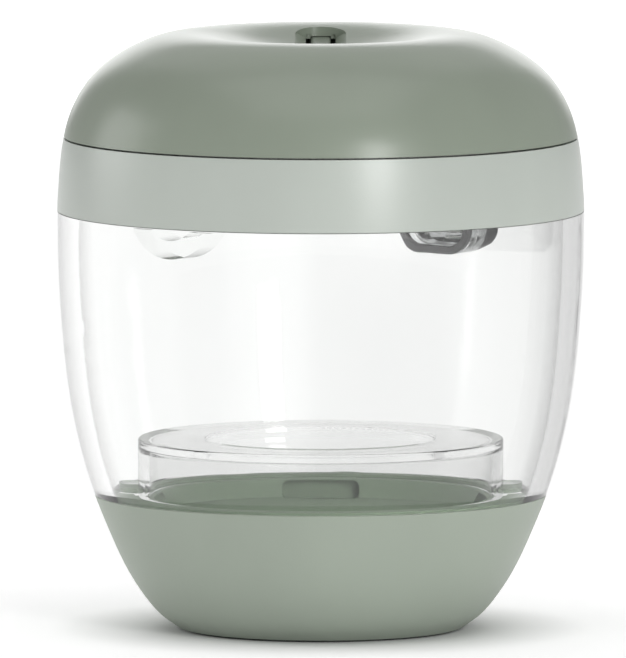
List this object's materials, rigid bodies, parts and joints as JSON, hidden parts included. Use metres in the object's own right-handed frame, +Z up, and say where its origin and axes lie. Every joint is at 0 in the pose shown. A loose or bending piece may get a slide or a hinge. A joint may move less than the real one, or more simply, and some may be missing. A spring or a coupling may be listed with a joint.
{
  "type": "soother steriliser",
  "caption": "Egg-shaped portable soother steriliser: clear chamber on a bowl base, lift-out holder ring, hinged domed head with UV lamp.",
  "frame": {"origin": "centre of the face it stands on, under the middle of the body", "axes": "+Z up along the body's axis, -Y the front, +X to the right; the hinge is at the back right"},
  "size_m": [0.072, 0.072, 0.0816],
  "materials": {
    "grey_green_plastic": "fine satin grey-green moulded plastic",
    "dome_plastic": "fine satin grey-green moulded plastic",
    "base_plastic": "fine satin grey-green moulded plastic",
    "clear_plastic": "clear polished plastic",
    "frosted_clear": "clear plastic with a soft polish",
    "smoke_plastic": "smoke grey moulded plastic",
    "dark_bezel": "dark grey plastic",
    "white_plastic": "white moulded plastic",
    "silicone": "soft silicone",
    "steel": "machined steel",
    "magnet": "dark ferrite block",
    "quartz": "polished quartz",
    "reflector_metal": "polished aluminium",
    "board_metal": "white coated aluminium board",
    "led_ceramic": "ceramic package",
    "circuit_board": "green circuit board",
    "chip_black": "black moulded packages",
    "battery_foil": "silver pouch foil",
    "foam": "foam pad"
  },
  "bodies": {
    "root": {"base_shell": "base_plastic", "base_liner": "base_plastic", "foot_ring": "silicone", "base_screws": "steel", "base_seal": "silicone", "clear_cup": "clear_plastic", "catch_ring": "frosted_clear", "hinge_housing": "smoke_plastic", "hinge_bezel": "dark_bezel", "hinge_sleeve": "smoke_plastic", "hinge_pin": "steel", "interlock_magnet": "magnet", "lift_spring": "steel"},
    "plunger": {"lift_plunger": "white_plastic"},
    "holder": {"soother_holder": "frosted_clear"},
    "head": {"band_shell": "grey_green_plastic", "head_seal": "silicone", "dome_cover": "dome_plastic", "strap_bar": "dome_plastic", "lamp_ceiling": "white_plastic", "lamp_window": "quartz", "window_seal": "silicone", "reflector": "reflector_metal", "lamp_board": "board_metal", "uv_leds": "led_ceramic", "main_board": "circuit_board", "board_parts": "chip_black", "battery_pad": "foam", "battery": "battery_foil", "usb_socket": "steel", "button_switch": "chip_black", "light_guide": "clear_plastic", "head_screws": "steel", "hinge_leaf": "steel", "leaf_screws": "steel", "catch_hook": "white_plastic"},
    "button": {"power_button": "dome_plastic", "switch_stem": "white_plastic"}
  },
  "joints": [
    {"name": "head_hinge", "type": "hinge", "parent": "root", "child": "head", "pos_m": [0.02209, 0.02931, 0.0573], "axis": [-0.7986, 0.6018, 0], "range_deg": [0, 105]},
    {"name": "holder_lift", "type": "slide", "parent": "root", "child": "holder", "axis": [0, 0, 1], "range_m": [0, 0.028]},
    {"name": "plunger_press", "type": "slide", "parent": "root", "child": "plunger", "axis": [0, 0, -1], "range_m": [0, 0.001], "stiffness_N_per_m": 150, "springref_m": -0.001, "deforming": ["lift_spring"]},
    {"name": "button_press", "type": "slide", "parent": "head", "child": "button", "axis": [0.5299, -0.848, 0], "range_m": [0, 0.0006], "stiffness_N_per_m": 600, "springref_m": -0.0005}
  ]
}
